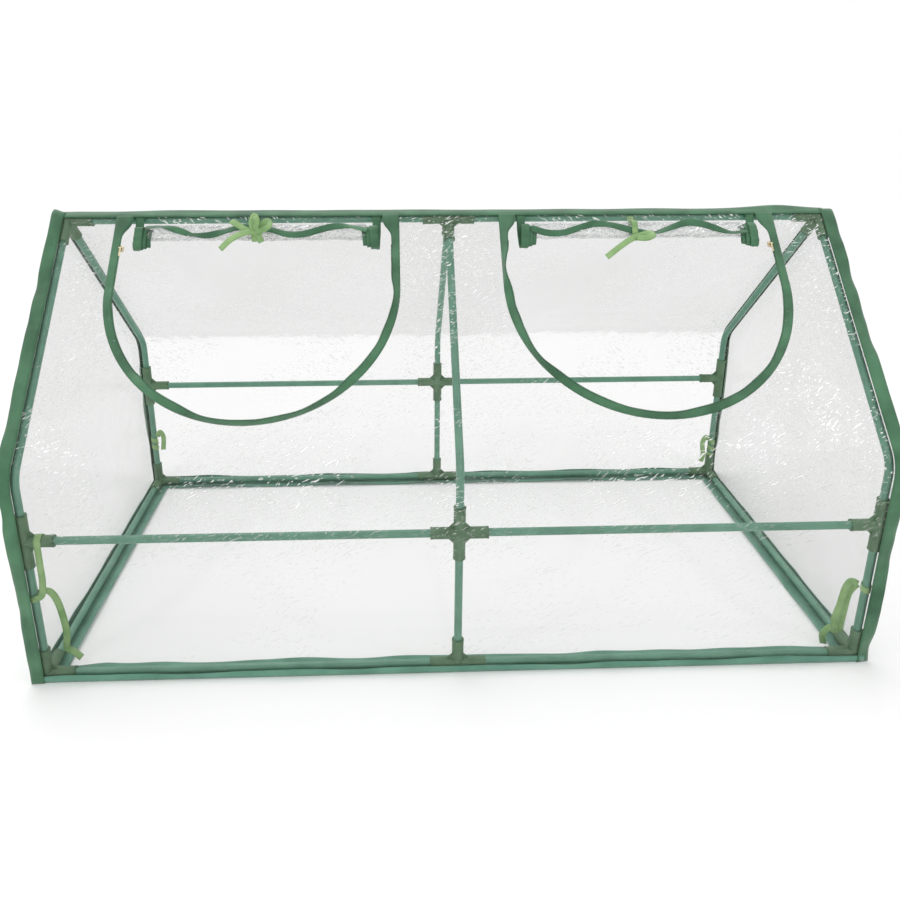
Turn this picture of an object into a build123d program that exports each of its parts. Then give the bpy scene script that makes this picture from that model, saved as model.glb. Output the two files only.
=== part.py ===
from build123d import *

import os
from math import cos, radians, sin, tan

# Mini greenhouse: a push-fit frame of coated steel tube under a clear film cover with two roll-up zip doors.
# Millimetres. +Z is up, +X runs right along the ridge and -Y is the side with the doors. The origin lies on
# the ground under the middle of the ridge. Every sub-part is one node, written to parts/NAME.step.

# Frame, between tube centre lines
frame_length = 1760.0
frame_depth = 870.0
tee_rise = 322.0  # side fittings above the base tubes
shoulder_rise = 462.0  # where the wall and roof lines of a bent tube cross, above the base tubes
roof_angle = 45.0

# Coated steel tube and the moulded fittings that it pushes into
tube_radius = 8.5
tube_wall = 0.6
bend_radius = 70.0
fitting_radius = 12.5
fitting_arm = 60.0
socket_radius = 8.6
socket_stop = 20.0  # from the fitting's centre to the bottom of each socket
rim_height = 0.6
rim_width = 3.0
web_leg = 36.0
web_thickness = 3.0

# Cover: clear film and woven binding tape
film = 0.3
film_gap = 13.5  # from the tube centre lines to the film's inner face
tape_width = 22.0
tape = 1.2
hem_width = 46.0
hem = 1.0
inner_apex = 1.0  # radius at the top of a gable binding's inner edge
seam_height = 4.0  # the folded edges that stand along the ridge

# Doors, measured on the roof face down from the ridge line
door_offset = 438.0
door_radius = 304.0  # of the zip line
door_leg = 194.0
door_top = 0.5
film_opening = 311.0  # half width of the hole in the film
opening_facet = 30.0  # between the sides of its round bottom
track_width = 21.0
track = 1.0
chain_half = 2.0
chain = 2.4
tab_width = 20.0
tab_length = 68.0

# Zip slider and its pull
slider_place = 88.0
slider_length = 12.0
slider_in = 7.0
slider_out = 4.0
slider_plate = 1.4
slider_clear = 0.4
pin_radius = 0.8
eye_radius = 1.0
eye_outer = 2.0
lug_length = 3.0
lug_width = 1.2
pull_width = 4.0
pull_length = 22.0
pull = 1.2

# Rolled doors, measured from the seam that they hang by
seam_offset = 15.5
hang_angle = 30.0  # of the roll's flat side, from upright
web_start = 1.5
roll_start = 23.0
roll_end = 58.0
roll_radius = 12.0
roll_wall = 1.2
coil_end = 75.0
coil_radius = 13.0
coil_width = 26.0
coil_gap = 4.0
coil_clear = 1.2
tie_width = 14.0
tie = 0.8
tie_clear = 0.6
strap_start = 6.0
knot_place = 34.0
knot_length = 12.0
knot_height = 6.0
tail_length = 62.0

# Ribbons that tie the cover to the frame inside
ribbon = 0.8
ribbon_width = 12.0
ribbon_clear = 0.3
ribbon_height = 108.0
ribbon_tail = 40.0

# Derived places
half_length = frame_length / 2
half_depth = frame_depth / 2
base_z = hem + fitting_radius + rim_height
tee_z = base_z + tee_rise
shoulder_z = base_z + shoulder_rise
ridge_z = shoulder_z + half_depth * tan(radians(roof_angle))
film_out = film_gap + film
cover_half = half_length + film_gap
zip_middle = film_out + track / 2
bend_tangent = bend_radius * tan(radians(roof_angle / 2))
roof_length = half_depth / cos(radians(roof_angle)) - bend_tangent
slope = Vector(0, cos(radians(roof_angle)), sin(radians(roof_angle)))
normal = Vector(0, -sin(radians(roof_angle)), cos(radians(roof_angle)))
ridge = Vector(0, 0, ridge_z)
seam = ridge + normal * seam_offset
hang = Vector(0, -sin(radians(hang_angle)), -cos(radians(hang_angle)))
LEFT, RIGHT = -1, 1
FRONT, REAR = -1, 1
SIDES = {"left": LEFT, "right": RIGHT}
ENDS = {"front": FRONT, "rear": REAR}
X, Y, Z = Vector(1, 0, 0), Vector(0, 1, 0), Vector(0, 0, 1)

os.makedirs("parts", exist_ok=True)


def save(part, name):
    """Labels one finished sub-part and writes its STEP file."""
    part.label = name
    export_step(part, f"parts/{name}.step")


def roof_plane(distance):
    """The front roof face at this distance from the tube centre lines: x along the ridge, y up the roof."""
    return Plane(origin=ridge + normal * distance, x_dir=X, z_dir=normal)


# ---------------------------------------------------------------- moulded fittings


def make_fitting(name, centre, arms):
    """A moulded push-fit fitting: one socket for each arm, a rim at each mouth and thin webs between the arms."""
    with BuildPart() as fitting:
        with Locations(centre):
            Sphere(fitting_radius)
        for arm in arms:
            with BuildSketch(Plane(origin=centre, z_dir=arm)):
                Circle(fitting_radius)
            extrude(amount=fitting_arm)
            with BuildSketch(Plane(origin=centre + arm * (fitting_arm - rim_width), z_dir=arm)):
                Circle(fitting_radius + rim_height)
            extrude(amount=rim_width)
        for index, arm in enumerate(arms):
            for other in arms[index + 1 :]:
                if abs(arm.dot(other)) > 0.1:
                    continue
                with BuildSketch(Plane(origin=centre, x_dir=arm, z_dir=arm.cross(other))):
                    with BuildLine():
                        Polyline((0, 0), (web_leg, 0), (0, web_leg), close=True)
                    make_face()
                extrude(amount=web_thickness / 2, both=True)
        for arm in arms:
            with BuildSketch(Plane(origin=centre + arm * socket_stop, z_dir=arm)):
                Circle(socket_radius)
            extrude(amount=fitting_arm - socket_stop, mode=Mode.SUBTRACT)
        mouths = fitting.edges().filter_by(GeomType.CIRCLE).filter_by(
            lambda edge: abs(edge.radius - fitting_radius - rim_height) < 0.01
        )
        chamfer(mouths, rim_height / 2)
    save(fitting.part, name)


for end_name, end in ENDS.items():
    inward = Y * -end
    for side_name, side in SIDES.items():
        corner = Vector(side * half_length, end * half_depth, base_z)
        make_fitting(f"{end_name}_{side_name}_base_corner", corner, [X * -side, inward, Z])
        tee = Vector(side * half_length, end * half_depth, tee_z)
        make_fitting(f"{end_name}_{side_name}_side_tee", tee, [X * -side, Z, Z * -1])
    make_fitting(f"{end_name}_base_tee", Vector(0, end * half_depth, base_z), [X, X * -1, Z])
    make_fitting(f"{end_name}_cross", Vector(0, end * half_depth, tee_z), [X, X * -1, Z, Z * -1])

roof_arms = [slope * -1, Vector(0, slope.Y, -slope.Z)]
for side_name, side in SIDES.items():
    make_fitting(f"{side_name}_ridge_corner", ridge + X * side * half_length, [X * -side, *roof_arms])
make_fitting("ridge_cross", ridge, [X, X * -1, *roof_arms])


# ---------------------------------------------------------------- tubes


def make_tube(name, start, end):
    """A straight coated steel tube between two socket bottoms."""
    along = end - start
    with BuildPart() as tube:
        with BuildSketch(Plane(origin=start, z_dir=along)):
            Circle(tube_radius)
            Circle(tube_radius - tube_wall, mode=Mode.SUBTRACT)
        extrude(amount=along.length)
    save(tube.part, name)


def make_bent_tube(name, x, end):
    """A wall tube bent over at the shoulder to run up the roof to the ridge."""
    foot = Vector(x, end * half_depth, tee_z + socket_stop)
    shoulder = Vector(x, end * half_depth, shoulder_z)
    top = ridge + X * x + Vector(0, end * slope.Y, -slope.Z) * socket_stop
    with BuildPart() as tube:
        with BuildLine() as path:
            FilletPolyline(foot, shoulder, top, radius=bend_radius)
        with BuildSketch(Plane(origin=foot, z_dir=Z)):
            Circle(tube_radius)
            Circle(tube_radius - tube_wall, mode=Mode.SUBTRACT)
        sweep(path=path.wires()[0])
    save(tube.part, name)


columns = {"left": -half_length, "middle": 0.0, "right": half_length}
for end_name, end in ENDS.items():
    y = end * half_depth
    for side_name, side in SIDES.items():
        near = side * socket_stop
        far = side * (half_length - socket_stop)
        for rail, z in (("base", base_z), ("side", tee_z)):
            make_tube(f"{end_name}_{side_name}_{rail}_rail", Vector(near, y, z), Vector(far, y, z))
    for column, x in columns.items():
        foot = Vector(x, y, base_z + socket_stop)
        head = Vector(x, y, tee_z - socket_stop)
        make_tube(f"{end_name}_{column}_upright", foot, head)
        make_bent_tube(f"{end_name}_{column}_bent_tube", x, end)
for side_name, side in SIDES.items():
    x = side * half_length
    rail_half = half_depth - socket_stop
    make_tube(f"{side_name}_base_cross_rail", Vector(x, -rail_half, base_z), Vector(x, rail_half, base_z))
    make_tube(f"{side_name}_ridge_tube", ridge + X * side * socket_stop, ridge + X * (x - side * socket_stop))


# ---------------------------------------------------------------- film cover


def closed_section(distance, apex_radius):
    """The cover's section at this distance from the tubes, closed along the ground, on the YZ plane."""
    wall_y = half_depth + distance
    corner_z = shoulder_z + distance * tan(radians(roof_angle / 2))
    apex_z = ridge_z + distance / cos(radians(roof_angle))
    shoulder_radius = bend_radius + distance
    with BuildLine() as section:
        over = FilletPolyline(
            (-wall_y, hem),
            (-wall_y, corner_z),
            (0, apex_z),
            (wall_y, corner_z),
            (wall_y, hem),
            radius=[shoulder_radius, apex_radius, shoulder_radius],
        )
        Line(over @ 1, over @ 0)
    return section.line


def curved_strip(centre, radius, start, turn):
    """A strip of film bent round an axis along X, as long as the cover."""
    with BuildPart() as strip:
        with BuildSketch(Plane.YZ):
            with BuildLine():
                inner = CenterArc(centre, radius, start, turn)
                outer = CenterArc(centre, radius + film, start, turn)
                Line(inner @ 0, outer @ 0)
                Line(inner @ 1, outer @ 1)
            make_face()
        extrude(amount=cover_half, both=True)
    return strip.part


def flat_strip(plane, corners):
    """A flat piece of film with these corners, raised from its plane."""
    with BuildPart() as strip:
        with BuildSketch(plane):
            with BuildLine():
                Polyline(*corners, close=True)
            make_face()
        extrude(amount=film)
    return strip.part


def rectangle_corners(left, right, low, high):
    return [(left, low), (right, low), (right, high), (left, high)]


def film_round_frame(end):
    """What the two long panels have in common: the wall, the shoulder and the turn over the ridge."""
    bend_z = shoulder_z - bend_tangent
    wall_plane = Plane(origin=Y * end * (half_depth + film_gap), x_dir=X * -end, z_dir=Y * end)
    wall_start = 0 if end == REAR else 180
    bend = (end * (half_depth - bend_radius), bend_z)
    return [
        flat_strip(wall_plane, rectangle_corners(-cover_half, cover_half, hem, bend_z)),
        curved_strip(bend, bend_radius + film_gap, wall_start, end * roof_angle),
        curved_strip((0, ridge_z), film_gap, 90 - end * roof_angle, end * roof_angle),
    ]


def save_sheet(pieces, name):
    """One sheet of film, held as pieces that meet edge to edge."""
    save(Compound(children=pieces), name)


rear_roof = Plane(origin=ridge + Vector(0, -normal.Y, normal.Z) * film_gap, x_dir=X * -1,
                  z_dir=Vector(0, -normal.Y, normal.Z))
rear_pieces = film_round_frame(REAR)
rear_pieces.append(flat_strip(rear_roof, rectangle_corners(-cover_half, cover_half, -roof_length, 0)))
save_sheet(rear_pieces, "rear_panel")

front_roof = roof_plane(film_gap)
opening_low = -door_leg - film_opening
inner_edge = door_offset - film_opening
outer_edge = door_offset + film_opening
front_pieces = film_round_frame(FRONT)
front_pieces.append(flat_strip(front_roof, rectangle_corners(-inner_edge, inner_edge, -roof_length, 0)))
# The round bottom of each opening has straight sides that the zip tape covers
first = film_opening * tan(radians(opening_facet / 2))
middle = film_opening / cos(radians(opening_facet / 2)) * cos(radians(1.5 * opening_facet))
for side in SIDES.values():
    beside = sorted([side * outer_edge, side * cover_half])
    below = sorted([side * inner_edge, side * outer_edge])
    front_pieces.append(flat_strip(front_roof, rectangle_corners(*beside, -roof_length, 0)))
    front_pieces.append(flat_strip(front_roof, rectangle_corners(*below, -roof_length, opening_low)))
    for half in (-1, 1):
        centre = side * door_offset
        leg_end = (centre + half * film_opening, -door_leg - first)
        corner = (centre + half * film_opening, opening_low)
        foot_end = (centre + half * first, opening_low)
        elbow = (centre + half * middle, -door_leg - middle)
        front_pieces.append(flat_strip(front_roof, [leg_end, corner, elbow]))
        front_pieces.append(flat_strip(front_roof, [corner, foot_end, elbow]))
save_sheet(front_pieces, "front_panel")

for side_name, side in SIDES.items():
    with BuildPart() as gable:
        with BuildSketch(Plane.YZ.offset(side * cover_half)):
            make_face(closed_section(film_out, film_out).edges())
        extrude(amount=side * film)
    save(gable.part, f"{side_name}_gable_panel")
    with BuildPart() as binding:
        with BuildSketch(Plane.YZ.offset(side * (cover_half + film))):
            make_face(closed_section(film_out + tape, film_out + tape).edges())
            make_face(closed_section(film_out - tape_width, inner_apex).edges(), mode=Mode.SUBTRACT)
        extrude(amount=side * tape)
    save(binding.part, f"{side_name}_gable_binding")

with BuildPart() as ridge_binding:
    with BuildSketch(Plane.YZ):
        with BuildLine():
            under = CenterArc((0, ridge_z), film_out, 90 - roof_angle, 2 * roof_angle)
            over = CenterArc((0, ridge_z), film_out + tape, 90 - roof_angle, 2 * roof_angle)
            Line(under @ 0, over @ 0)
            Line(under @ 1, over @ 1)
        make_face()
        with Locations((0, ridge_z + film_out + tape / 2)):
            Rectangle(2 * tape, seam_height, align=(Align.CENTER, Align.MIN))
    extrude(amount=cover_half, both=True)
save(ridge_binding.part, "ridge_binding")

cover_y = half_depth + film_out
hem_strips = [
    (0, -cover_y + hem_width / 2, 2 * cover_half, hem_width),
    (0, cover_y - hem_width / 2, 2 * cover_half, hem_width),
    (-cover_half + hem_width / 2, 0, hem_width, 2 * (cover_y - hem_width)),
    (cover_half - hem_width / 2, 0, hem_width, 2 * (cover_y - hem_width)),
]
hem_parts = []
for x, y, length, width in hem_strips:
    with BuildPart() as strip:
        with BuildSketch():
            with Locations((x, y)):
                Rectangle(length, width)
        extrude(amount=hem)
    hem_parts.append(strip.part)
save_sheet(hem_parts, "hem_binding")


# ---------------------------------------------------------------- door zips


def door_outline(x, radius, top):
    """A door's outline on the roof face: two straight legs and a half circle."""
    with BuildLine() as outline:
        left_leg = Line((x - radius, -top), (x - radius, -door_leg))
        bottom = ThreePointArc(left_leg @ 1, (x, -door_leg - radius), (x + radius, -door_leg))
        right_leg = Line(bottom @ 1, (x + radius, -top))
        Line(right_leg @ 1, left_leg @ 0)
    return outline.line


for side_name, side in SIDES.items():
    centre = side * door_offset
    with BuildPart() as zip_track:
        with BuildSketch(roof_plane(film_out)):
            make_face(door_outline(centre, door_radius + track_width, door_top).edges())
            make_face(door_outline(centre, door_radius, door_top).edges(), mode=Mode.SUBTRACT)
            # The door's half of the zip stays closed for a short way at the top of each leg
            for leg in (-1, 1):
                with Locations((centre + leg * (door_radius - tab_width / 2), -door_top)):
                    Rectangle(tab_width, tab_length, align=(Align.CENTER, Align.MAX))
        extrude(amount=track)
        with BuildSketch(roof_plane(zip_middle - chain / 2)):
            make_face(door_outline(centre, door_radius + chain_half, door_top).edges())
            make_face(door_outline(centre, door_radius - chain_half, door_top).edges(), mode=Mode.SUBTRACT)
        extrude(amount=chain)
    save(zip_track.part, f"{side_name}_door_zip_track")


def slope_section(distance_down):
    """A section across the front roof face: x along the ridge, y out from the tube centre lines."""
    return Plane(origin=ridge - slope * distance_down, x_dir=X, z_dir=slope * -1)


for side_name, side in SIDES.items():
    leg_x = side * (door_offset + door_radius)
    slider_x = leg_x - side * (slider_in - slider_out) / 2
    slider_span = slider_in + slider_out
    mouth_half = chain / 2 + slider_clear
    plate_top = zip_middle + mouth_half + slider_plate
    pin_height = plate_top + eye_outer + slider_clear
    ear_gap = pull_width + 2 * slider_clear
    with BuildPart() as slider:
        with BuildSketch(slope_section(slider_place - slider_length / 2)):
            with Locations((slider_x, zip_middle)):
                Rectangle(slider_span, 2 * (mouth_half + slider_plate))
            with Locations((leg_x - side * (chain_half + slider_clear), zip_middle)):
                mouth_align = Align.MIN if side == RIGHT else Align.MAX
                Rectangle(slider_span, 2 * mouth_half, align=(mouth_align, Align.CENTER), mode=Mode.SUBTRACT)
        extrude(amount=slider_length)
        with BuildSketch(slope_section(slider_place - lug_length / 2)):
            for ear in (-1, 1):
                with Locations((slider_x + ear * (ear_gap + lug_width) / 2, plate_top - slider_clear)):
                    Rectangle(lug_width, pin_height - plate_top + eye_outer, align=(Align.CENTER, Align.MIN))
        extrude(amount=lug_length)
        pin_centre = ridge - slope * slider_place + normal * pin_height
        with BuildSketch(Plane(origin=pin_centre + X * (slider_x - ear_gap / 2 - lug_width), z_dir=X)):
            Circle(pin_radius)
        extrude(amount=ear_gap + 2 * lug_width)
    save(slider.part, f"{side_name}_slider")

    with BuildPart() as pull_tab:
        with BuildSketch(Plane(origin=pin_centre + X * (slider_x - pull_width / 2), x_dir=slope * -1, z_dir=X)):
            Circle(eye_outer)
            Rectangle(pull_length, pull, align=(Align.MIN, Align.CENTER))
            Circle(eye_radius, mode=Mode.SUBTRACT)
        extrude(amount=pull_width)
    save(pull_tab.part, f"{side_name}_pull_tab")


# ---------------------------------------------------------------- rolled doors


def roll_section(x):
    """A section across a rolled door, facing left: x away from the seam, y out from the roll's flat side."""
    return Plane(origin=seam + X * x, x_dir=hang, z_dir=X * -1)


def roll_slot(low, high, radius, grow=0.0, mode=Mode.ADD):
    """The outline of a flattened roll between these distances from the seam, or one this much larger."""
    with Locations(((low + high) / 2, radius)):
        SlotOverall(high - low + 2 * grow, 2 * (radius + grow), mode=mode)


def strap(low, high, height, thickness, mode=Mode.ADD):
    """A thin layer along the roll's flat side, in a section across it."""
    with Locations((low, height)):
        Rectangle(high - low, thickness, align=(Align.MIN, Align.MIN), mode=mode)


roll_half = door_radius - tab_width - coil_gap - coil_width
tie_out = 2 * roll_radius + tie_clear + tie
for side_name, side in SIDES.items():
    centre = side * door_offset
    with BuildPart() as door_flap:
        with BuildSketch(roll_section(centre + roll_half)):
            roll_slot(roll_start, roll_end, roll_radius)
            roll_slot(roll_start, roll_end, roll_radius, -roll_wall, Mode.SUBTRACT)
            strap(web_start, roll_start + roll_radius, 0, film)
        extrude(amount=2 * roll_half)
    save(door_flap.part, f"{side_name}_door_flap")

    coils = []
    for right_end in (roll_half + coil_clear + coil_width, -roll_half - coil_clear):
        with BuildPart() as coil:
            with BuildSketch(roll_section(centre + right_end)):
                roll_slot(roll_start, coil_end, coil_radius)
                strap(web_start, roll_start + coil_radius, 0, track)
            extrude(amount=coil_width)
        coils.append(coil.part)
    save_sheet(coils, f"{side_name}_flap_zip_tape")

    with BuildPart() as roll_tie:
        with BuildSketch(roll_section(centre + tie_width / 2)):
            roll_slot(roll_start, roll_end, roll_radius, tie_clear + tie)
            roll_slot(roll_start, roll_end, roll_radius, tie_clear, Mode.SUBTRACT)
            strap(web_start, roll_start + roll_radius, -tie_clear / 2, film + tie_clear, Mode.SUBTRACT)
            strap(strap_start, roll_start + roll_radius, -tie_clear - tie, tie)
            strap(knot_place, knot_place + knot_length, tie_out - tie, knot_height)
            strap(knot_place, knot_place + knot_length + tail_length, tie_out - tie + knot_height / 2, tie)
        extrude(amount=tie_width)
    save(roll_tie.part, f"{side_name}_roll_tie")


# ---------------------------------------------------------------- ribbons inside the cover

ties = []
for end in ENDS.values():
    for side in SIDES.values():
        post = Vector(side * half_length, end * half_depth, base_z + ribbon_height)
        with BuildPart() as tie_round_post:
            with BuildSketch(Plane(origin=post, z_dir=Z)):
                Circle(tube_radius + ribbon_clear + ribbon)
                Circle(tube_radius + ribbon_clear, mode=Mode.SUBTRACT)
            extrude(amount=ribbon_width)
            tail_x = post.X - side * (tube_radius + ribbon_clear + ribbon / 2)
            with BuildSketch(Plane(origin=(tail_x, post.Y, post.Z - ribbon_tail), z_dir=Z)):
                Rectangle(ribbon, ribbon_width)
            extrude(amount=ribbon_tail + ribbon_width)
        ties.append(tie_round_post.part)
save_sheet(ties, "frame_ties")
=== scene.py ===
from math import cos, exp, pi, radians, sin, sqrt, tan

import bpy
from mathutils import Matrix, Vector, noise


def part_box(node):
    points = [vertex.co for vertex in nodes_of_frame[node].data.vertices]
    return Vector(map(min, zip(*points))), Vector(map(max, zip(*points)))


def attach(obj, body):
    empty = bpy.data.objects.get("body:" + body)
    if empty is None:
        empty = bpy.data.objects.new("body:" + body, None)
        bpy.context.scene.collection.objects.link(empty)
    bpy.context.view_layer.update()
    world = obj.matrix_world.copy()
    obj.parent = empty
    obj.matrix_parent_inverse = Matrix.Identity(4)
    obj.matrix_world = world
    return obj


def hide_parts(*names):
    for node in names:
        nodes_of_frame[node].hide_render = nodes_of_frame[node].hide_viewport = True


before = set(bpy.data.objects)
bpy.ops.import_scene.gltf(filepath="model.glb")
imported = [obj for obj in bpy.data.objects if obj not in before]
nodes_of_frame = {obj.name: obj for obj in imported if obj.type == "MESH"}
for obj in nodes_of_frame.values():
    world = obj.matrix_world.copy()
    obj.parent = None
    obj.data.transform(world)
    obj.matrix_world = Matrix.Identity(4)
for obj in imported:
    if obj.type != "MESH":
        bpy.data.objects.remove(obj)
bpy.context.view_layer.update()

bpy.ops.object.select_all(action="DESELECT")

# ---------------------------------------------------------------- the studio
# A pale floor and a white surround, a broad soft light from above and small lights that
# pick out the creases in the film.
scene = bpy.context.scene
scene.view_settings.view_transform = "Standard"
scene.cycles.transparent_max_bounces = 40

bpy.ops.object.camera_add(location=(-0.126, -1.881, 1.222), rotation=(radians(71.53), 0, radians(-2.13)))
camera = bpy.context.object
camera.name = "camera"
camera.data.lens = 32.2
camera.data.shift_x = 0.0284
camera.data.shift_y = -0.1139
camera.data.clip_start = 0.05
scene.camera = camera

world = bpy.data.worlds.new("surround")
scene.world = world
world.use_nodes = True
surround = world.node_tree.nodes["Background"]
surround.inputs["Color"].default_value = (1.0, 1.0, 1.0, 1.0)
seen_by = world.node_tree.nodes.new("ShaderNodeLightPath")
surround_strength = world.node_tree.nodes.new("ShaderNodeMapRange")
surround_strength.inputs["To Min"].default_value = 0.79
surround_strength.inputs["To Max"].default_value = 1.0
world.node_tree.links.new(seen_by.outputs["Is Camera Ray"], surround_strength.inputs["Value"])
world.node_tree.links.new(surround_strength.outputs["Result"], surround.inputs["Strength"])

bpy.ops.object.light_add(type="SUN", rotation=(radians(-24), radians(-18), 0))
sky = bpy.context.object
sky.name = "soft_light"
sky.data.energy = 1.08
sky.data.angle = radians(55)

for name, place, size, power in (
    ("glint_left", (-1.7, -1.5, 2.3), 0.15, 4.5),
    ("glint_right", (1.6, -1.2, 2.5), 0.15, 4.5),
    ("glint_front", (0.2, -2.8, 1.9), 0.15, 4.5),
):
    bpy.ops.object.light_add(type="AREA", location=place)
    lamp = bpy.context.object
    lamp.name = name
    lamp.rotation_euler = (Vector((0, 0, 0.45)) - Vector(place)).to_track_quat("-Z", "Y").to_euler()
    lamp.data.size = size
    lamp.data.energy = power

bpy.ops.mesh.primitive_plane_add(size=40, location=(0, 0, 0))
floor = bpy.context.object
floor.name = "floor"
floor_finish = bpy.data.materials.new("pale_floor")
floor_finish.use_nodes = True
floor_shader = floor_finish.node_tree.nodes["Principled BSDF"]
floor_shader.inputs["Base Color"].default_value = (0.95, 0.95, 0.95, 1)
floor_shader.inputs["Roughness"].default_value = 0.7
floor_shader.inputs["Specular IOR Level"].default_value = 0.2
floor.data.materials.append(floor_finish)


# ---------------------------------------------------------------- tubes
# Thin steel tube in a coat of green plastic, cut to length and, for six of them, bent. The
# coating is satin and a little cloudy, with a fine speckle.


def new_finish(name):
    """A material with its shader and the piece's own coordinates, to be filled in."""
    material = bpy.data.materials.new(name)
    material.use_nodes = True
    tree = material.node_tree
    coordinates = tree.nodes.new("ShaderNodeTexCoord")
    return material, tree, tree.nodes["Principled BSDF"], coordinates


def add_node(tree, kind, settings=(), links=()):
    """One more node: settings are (input, value), and links are (input, the socket that feeds it)."""
    node = tree.nodes.new("ShaderNode" + kind)
    for key, value in settings:
        if isinstance(key, str) and hasattr(node, key):
            setattr(node, key, value)
        else:
            node.inputs[key].default_value = value
    for key, source in links:
        tree.links.new(source, node.inputs[key])
    return node


def two_tone(tree, factor, dark, light, low=0.3, high=0.7):
    """A colour that runs between two tones as the factor does."""
    ramp = add_node(tree, "ValToRGB", links=[("Fac", factor)])
    ramp.color_ramp.elements[0].position = low
    ramp.color_ramp.elements[0].color = (*dark, 1)
    ramp.color_ramp.elements[1].position = high
    ramp.color_ramp.elements[1].color = (*light, 1)
    return ramp.outputs["Color"]


def bump(tree, height, strength, distance, under=None):
    """Relief from a height, laid over any relief already there."""
    links = [("Height", height)] + ([("Normal", under)] if under else [])
    node = add_node(tree, "Bump", [("Strength", strength), ("Distance", distance)], links)
    return node.outputs["Normal"]


coated, tree, shader, at = new_finish("coated_steel")
cloudy = add_node(tree, "TexNoise", [("Scale", 22.0), ("Detail", 4.0)], [("Vector", at.outputs["Object"])])
speckle = add_node(tree, "TexNoise", [("Scale", 900.0), ("Detail", 2.0)], [("Vector", at.outputs["Object"])])
tone = two_tone(tree, cloudy.outputs["Fac"], (0.095, 0.245, 0.165), (0.140, 0.325, 0.225))
tree.links.new(tone, shader.inputs["Base Color"])
dull = add_node(tree, "MapRange", [("To Min", 0.26), ("To Max", 0.42)], [("Value", cloudy.outputs["Fac"])])
tree.links.new(dull.outputs["Result"], shader.inputs["Roughness"])
relief = bump(tree, speckle.outputs["Fac"], 0.12, 0.0003)
tree.links.new(bump(tree, cloudy.outputs["Fac"], 0.05, 0.001, relief), shader.inputs["Normal"])
shader.inputs["Coat Weight"].default_value = 0.15
shader.inputs["Coat Roughness"].default_value = 0.25


def paint(names, material):
    """Gives carried-over pieces their finish."""
    for name in names:
        piece = nodes_of_frame[name]
        piece.data.materials.clear()
        piece.data.materials.append(material)


tubes = [n for n in nodes_of_frame if n.endswith(("_rail", "_upright", "_bent_tube", "_ridge_tube"))]
paint(tubes, coated)

# ---------------------------------------------------------------- fittings
# Injection-moulded sockets in a duller, more olive green than the tube, with a fine grain from
# the mould.
moulded, tree, shader, at = new_finish("moulded_plastic")
patches = add_node(tree, "TexNoise", [("Scale", 30.0), ("Detail", 5.0)], [("Vector", at.outputs["Object"])])
grain = add_node(tree, "TexNoise", [("Scale", 1400.0), ("Detail", 1.0)], [("Vector", at.outputs["Object"])])
tone = two_tone(tree, patches.outputs["Fac"], (0.070, 0.145, 0.072), (0.125, 0.230, 0.125))
tree.links.new(tone, shader.inputs["Base Color"])
shader.inputs["Roughness"].default_value = 0.5
relief = bump(tree, grain.outputs["Fac"], 0.25, 0.0002)
tree.links.new(bump(tree, patches.outputs["Fac"], 0.08, 0.001, relief), shader.inputs["Normal"])
fittings = [n for n in nodes_of_frame if n.endswith(("_corner", "_tee", "_cross"))]
paint(fittings, moulded)

# ---------------------------------------------------------------- the shape of the cover
# Everything sewn lies on one skin, which runs from the ground up the wall, round the bent tubes,
# up the roof and over the ridge tube. Its sizes come from the frame.
rail_low, rail_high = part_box("front_left_base_rail")
ridge_low, ridge_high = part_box("left_ridge_tube")
panel_low, panel_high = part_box("front_panel")
track_low, track_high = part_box("right_door_zip_track")
ridge_z = (ridge_low.z + ridge_high.z) / 2
half_depth = -(rail_low.y + rail_high.y) / 2
half_length = panel_high.x
film_out = -panel_low.y - half_depth
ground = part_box("hem_binding")[1].z
bend_radius = 0.070
bend_z = ridge_z - half_depth - bend_radius * tan(pi / 8)
wall_run = bend_z - ground
bend_run = (bend_radius + film_out) * pi / 4
roof_end = wall_run + bend_run + half_depth * sqrt(2) - bend_radius * tan(pi / 8)
cover_run = roof_end + film_out * pi / 4
FRONT, REAR = -1, 1


def skin(end, x, up, out=0.0):
    """The point this far up the cover from the ground and this far out from its film."""
    around = bend_radius + film_out
    if up < wall_run:
        lean, y, z = 0.0, half_depth + film_out, ground + up
    elif up < roof_end:
        lean = min((up - wall_run) / around, pi / 4)
        along = max(up - wall_run - bend_run, 0) * cos(pi / 4)
        y = half_depth - bend_radius + around * cos(lean) - along
        z = bend_z + around * sin(lean) + along
    else:
        lean = pi / 4 + (up - roof_end) / film_out
        y = film_out * cos(lean)
        z = ridge_z + film_out * sin(lean)
    return Vector((x, end * (y + out * cos(lean)), z + out * sin(lean)))


def crumple(x, up, seed):
    """How far film stands out here: slow waves, and sharper creases where it was folded and packed."""
    here = Vector((x, up, seed))
    stand = 0.0042 + 0.0035 * noise.noise(here * 2.7)
    for size, height in ((0.13, 0.0026), (0.05, 0.0013), (0.024, 0.0006)):
        stand += height * (0.55 - 2 * abs(noise.noise(here / size)))
    return max(stand, 0.0006)


def grid_piece(name, columns, rows, place, width, length):
    """A flat grid with each point put where place(across, along) says. Its map is in metres."""
    bpy.ops.mesh.primitive_grid_add(x_subdivisions=columns, y_subdivisions=rows, size=2)
    piece = bpy.context.object
    piece.name = name
    piece.data.name = name
    for vertex in piece.data.vertices:
        vertex.co = place((vertex.co.x + 1) / 2, (vertex.co.y + 1) / 2)
    for corner in piece.data.uv_layers[0].data:
        corner.uv = (corner.uv.x * width, corner.uv.y * length)
    bpy.ops.object.shade_smooth()
    return piece
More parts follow.
